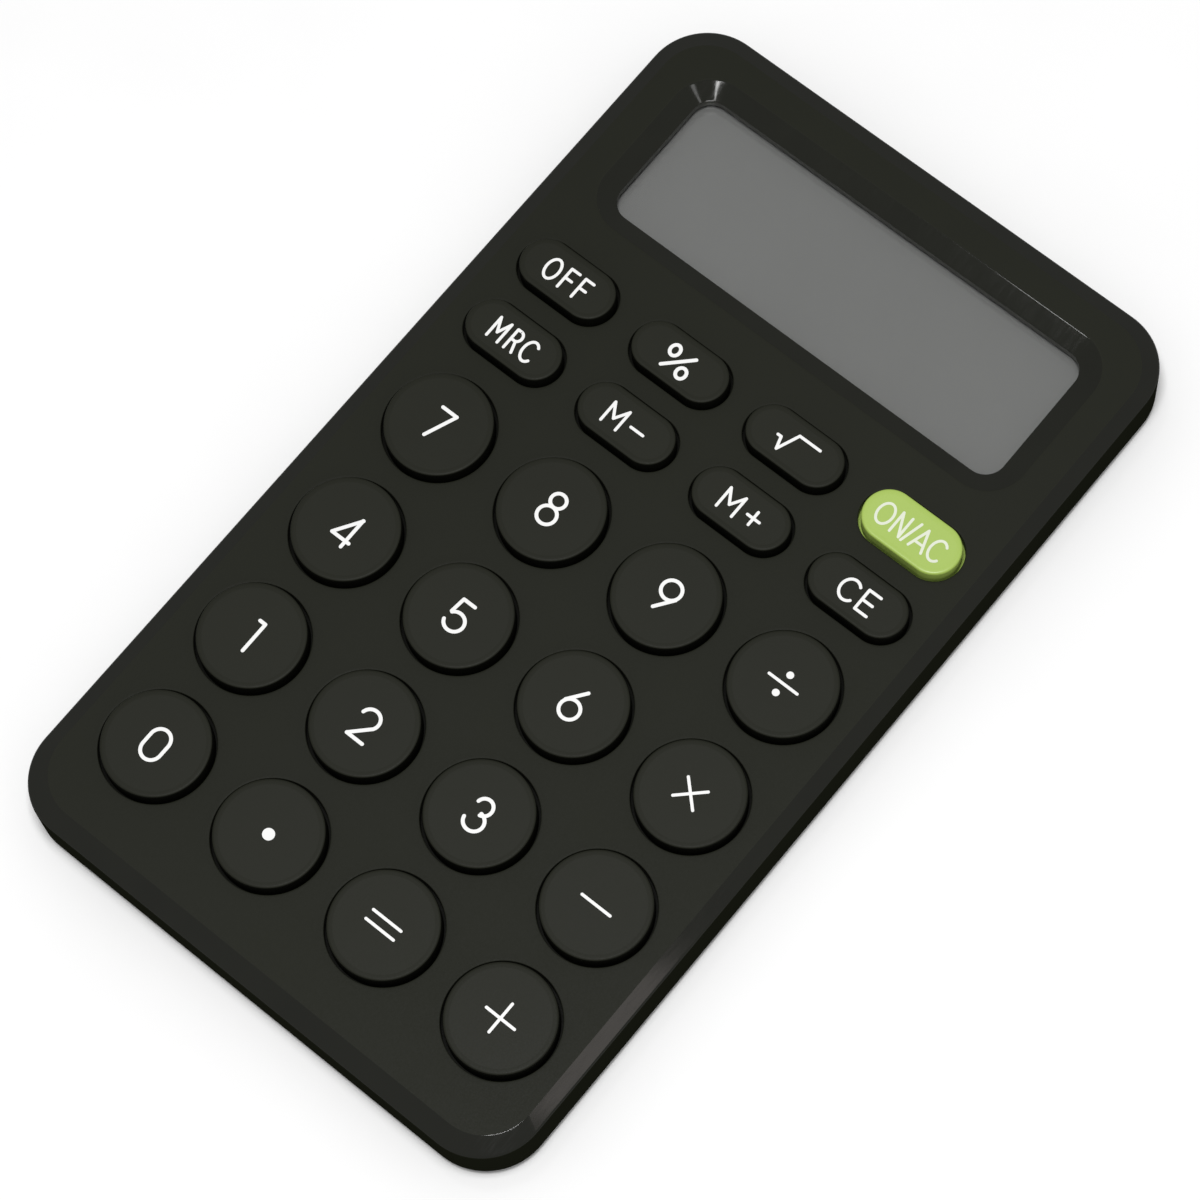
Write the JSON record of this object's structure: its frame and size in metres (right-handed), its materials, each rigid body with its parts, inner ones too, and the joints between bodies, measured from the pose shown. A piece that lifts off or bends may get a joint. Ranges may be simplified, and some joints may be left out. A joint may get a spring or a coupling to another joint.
{
  "type": "pocket calculator",
  "caption": "Slim pocket calculator: two-part case, separate round and oblong keys that press in, a display stack, and a battery door that turns.",
  "frame": {"origin": "under the middle of the case, in the plane that the rubber feet stand on", "axes": "+X to the right of someone who reads the display, +Y towards the display end, +Z out of the front face"},
  "size_m": [0.07, 0.12, 0.0092],
  "materials": {
    "case_plastic": "fine matte moulded texture, with a glossier bevel",
    "key_plastic": "smooth matte moulding",
    "green_key_plastic": "smooth matte moulding",
    "screw_steel": "zinc plated",
    "foot_rubber": "matte",
    "window_acrylic": "clear polished sheet",
    "black_tape": "thin double sided tape",
    "display_film": "neutral grey film",
    "display_glass": "ground edges",
    "connector_rubber": "striped conductive and insulating layers",
    "black_foam": "open cell foam",
    "board_laminate": "solder resist over fibreglass",
    "chip_resin": "cast epoxy drop",
    "resistor_ceramic": "glazed body with tinned ends",
    "capacitor_ceramic": "sintered body with tinned ends",
    "keypad_silicone": "translucent moulded silicone",
    "carbon_rubber": "matte carbon",
    "cell_steel": "nickel plated",
    "contact_steel": "nickel plated spring steel"
  },
  "bodies": {
    "root": {"front_cover": "case_plastic", "rear_cover": "case_plastic", "case_screws": "screw_steel", "rubber_feet": "foot_rubber", "display_window": "window_acrylic", "window_tape": "black_tape", "front_polariser": "display_film", "front_glass": "display_glass", "rear_glass": "display_glass", "reflector": "display_film", "connector_strip": "connector_rubber", "foam_pad": "black_foam", "circuit_board": "board_laminate", "chip_cover": "chip_resin", "chip_resistors": "resistor_ceramic", "chip_capacitors": "capacitor_ceramic", "keypad_sheet": "keypad_silicone", "carbon_contacts": "carbon_rubber", "coin_cell": "cell_steel", "negative_contact": "contact_steel", "positive_contact": "contact_steel"},
    "battery_door": {"battery_door": "case_plastic"},
    "key_0": {"key_0": "key_plastic"},
    "key_point": {"key_point": "key_plastic"},
    "key_equals": {"key_equals": "key_plastic"},
    "key_plus": {"key_plus": "key_plastic"},
    "key_1": {"key_1": "key_plastic"},
    "key_2": {"key_2": "key_plastic"},
    "key_3": {"key_3": "key_plastic"},
    "key_minus": {"key_minus": "key_plastic"},
    "key_4": {"key_4": "key_plastic"},
    "key_5": {"key_5": "key_plastic"},
    "key_6": {"key_6": "key_plastic"},
    "key_times": {"key_times": "key_plastic"},
    "key_7": {"key_7": "key_plastic"},
    "key_8": {"key_8": "key_plastic"},
    "key_9": {"key_9": "key_plastic"},
    "key_divide": {"key_divide": "key_plastic"},
    "key_memory_recall": {"key_memory_recall": "key_plastic"},
    "key_memory_minus": {"key_memory_minus": "key_plastic"},
    "key_memory_plus": {"key_memory_plus": "key_plastic"},
    "key_clear_entry": {"key_clear_entry": "key_plastic"},
    "key_off": {"key_off": "key_plastic"},
    "key_percent": {"key_percent": "key_plastic"},
    "key_square_root": {"key_square_root": "key_plastic"},
    "key_on": {"key_on": "green_key_plastic"}
  },
  "joints": [
    {"name": "press_0", "type": "slide", "parent": "root", "child": "key_0", "axis": [0, 0, -1], "range_m": [0, 0.0009], "stiffness_N_per_m": 500, "springref_m": -0.0003, "deforming": ["keypad_sheet", "carbon_contacts"]},
    {"name": "press_point", "type": "slide", "parent": "root", "child": "key_point", "axis": [0, 0, -1], "range_m": [0, 0.0009], "stiffness_N_per_m": 500, "springref_m": -0.0003, "deforming": ["keypad_sheet", "carbon_contacts"]},
    {"name": "press_equals", "type": "slide", "parent": "root", "child": "key_equals", "axis": [0, 0, -1], "range_m": [0, 0.0009], "stiffness_N_per_m": 500, "springref_m": -0.0003, "deforming": ["keypad_sheet", "carbon_contacts"]},
    {"name": "press_plus", "type": "slide", "parent": "root", "child": "key_plus", "axis": [0, 0, -1], "range_m": [0, 0.0009], "stiffness_N_per_m": 500, "springref_m": -0.0003, "deforming": ["keypad_sheet", "carbon_contacts"]},
    {"name": "press_1", "type": "slide", "parent": "root", "child": "key_1", "axis": [0, 0, -1], "range_m": [0, 0.0009], "stiffness_N_per_m": 500, "springref_m": -0.0003, "deforming": ["keypad_sheet", "carbon_contacts"]},
    {"name": "press_2", "type": "slide", "parent": "root", "child": "key_2", "axis": [0, 0, -1], "range_m": [0, 0.0009], "stiffness_N_per_m": 500, "springref_m": -0.0003, "deforming": ["keypad_sheet", "carbon_contacts"]},
    {"name": "press_3", "type": "slide", "parent": "root", "child": "key_3", "axis": [0, 0, -1], "range_m": [0, 0.0009], "stiffness_N_per_m": 500, "springref_m": -0.0003, "deforming": ["keypad_sheet", "carbon_contacts"]},
    {"name": "press_minus", "type": "slide", "parent": "root", "child": "key_minus", "axis": [0, 0, -1], "range_m": [0, 0.0009], "stiffness_N_per_m": 500, "springref_m": -0.0003, "deforming": ["keypad_sheet", "carbon_contacts"]},
    {"name": "press_4", "type": "slide", "parent": "root", "child": "key_4", "axis": [0, 0, -1], "range_m": [0, 0.0009], "stiffness_N_per_m": 500, "springref_m": -0.0003, "deforming": ["keypad_sheet", "carbon_contacts"]},
    {"name": "press_5", "type": "slide", "parent": "root", "child": "key_5", "axis": [0, 0, -1], "range_m": [0, 0.0009], "stiffness_N_per_m": 500, "springref_m": -0.0003, "deforming": ["keypad_sheet", "carbon_contacts"]},
    {"name": "press_6", "type": "slide", "parent": "root", "child": "key_6", "axis": [0, 0, -1], "range_m": [0, 0.0009], "stiffness_N_per_m": 500, "springref_m": -0.0003, "deforming": ["keypad_sheet", "carbon_contacts"]},
    {"name": "press_times", "type": "slide", "parent": "root", "child": "key_times", "axis": [0, 0, -1], "range_m": [0, 0.0009], "stiffness_N_per_m": 500, "springref_m": -0.0003, "deforming": ["keypad_sheet", "carbon_contacts"]},
    {"name": "press_7", "type": "slide", "parent": "root", "child": "key_7", "axis": [0, 0, -1], "range_m": [0, 0.0009], "stiffness_N_per_m": 500, "springref_m": -0.0003, "deforming": ["keypad_sheet", "carbon_contacts"]},
    {"name": "press_8", "type": "slide", "parent": "root", "child": "key_8", "axis": [0, 0, -1], "range_m": [0, 0.0009], "stiffness_N_per_m": 500, "springref_m": -0.0003, "deforming": ["keypad_sheet", "carbon_contacts"]},
    {"name": "press_9", "type": "slide", "parent": "root", "child": "key_9", "axis": [0, 0, -1], "range_m": [0, 0.0009], "stiffness_N_per_m": 500, "springref_m": -0.0003, "deforming": ["keypad_sheet", "carbon_contacts"]},
    {"name": "press_divide", "type": "slide", "parent": "root", "child": "key_divide", "axis": [0, 0, -1], "range_m": [0, 0.0009], "stiffness_N_per_m": 500, "springref_m": -0.0003, "deforming": ["keypad_sheet", "carbon_contacts"]},
    {"name": "press_memory_recall", "type": "slide", "parent": "root", "child": "key_memory_recall", "axis": [0, 0, -1], "range_m": [0, 0.0009], "stiffness_N_per_m": 500, "springref_m": -0.0003, "deforming": ["keypad_sheet", "carbon_contacts"]},
    {"name": "press_memory_minus", "type": "slide", "parent": "root", "child": "key_memory_minus", "axis": [0, 0, -1], "range_m": [0, 0.0009], "stiffness_N_per_m": 500, "springref_m": -0.0003, "deforming": ["keypad_sheet", "carbon_contacts"]},
    {"name": "press_memory_plus", "type": "slide", "parent": "root", "child": "key_memory_plus", "axis": [0, 0, -1], "range_m": [0, 0.0009], "stiffness_N_per_m": 500, "springref_m": -0.0003, "deforming": ["keypad_sheet", "carbon_contacts"]},
    {"name": "press_clear_entry", "type": "slide", "parent": "root", "child": "key_clear_entry", "axis": [0, 0, -1], "range_m": [0, 0.0009], "stiffness_N_per_m": 500, "springref_m": -0.0003, "deforming": ["keypad_sheet", "carbon_contacts"]},
    {"name": "press_off", "type": "slide", "parent": "root", "child": "key_off", "axis": [0, 0, -1], "range_m": [0, 0.0009], "stiffness_N_per_m": 500, "springref_m": -0.0003, "deforming": ["keypad_sheet", "carbon_contacts"]},
    {"name": "press_percent", "type": "slide", "parent": "root", "child": "key_percent", "axis": [0, 0, -1], "range_m": [0, 0.0009], "stiffness_N_per_m": 500, "springref_m": -0.0003, "deforming": ["keypad_sheet", "carbon_contacts"]},
    {"name": "press_square_root", "type": "slide", "parent": "root", "child": "key_square_root", "axis": [0, 0, -1], "range_m": [0, 0.0009], "stiffness_N_per_m": 500, "springref_m": -0.0003, "deforming": ["keypad_sheet", "carbon_contacts"]},
    {"name": "press_on", "type": "slide", "parent": "root", "child": "key_on", "axis": [0, 0, -1], "range_m": [0, 0.0009], "stiffness_N_per_m": 500, "springref_m": -0.0003, "deforming": ["keypad_sheet", "carbon_contacts"]},
    {"name": "door_turn", "type": "hinge", "parent": "root", "child": "battery_door", "pos_m": [0.005, 0.04505, 0.001], "axis": [0, 0, -1], "range_deg": [0, 35]}
  ]
}
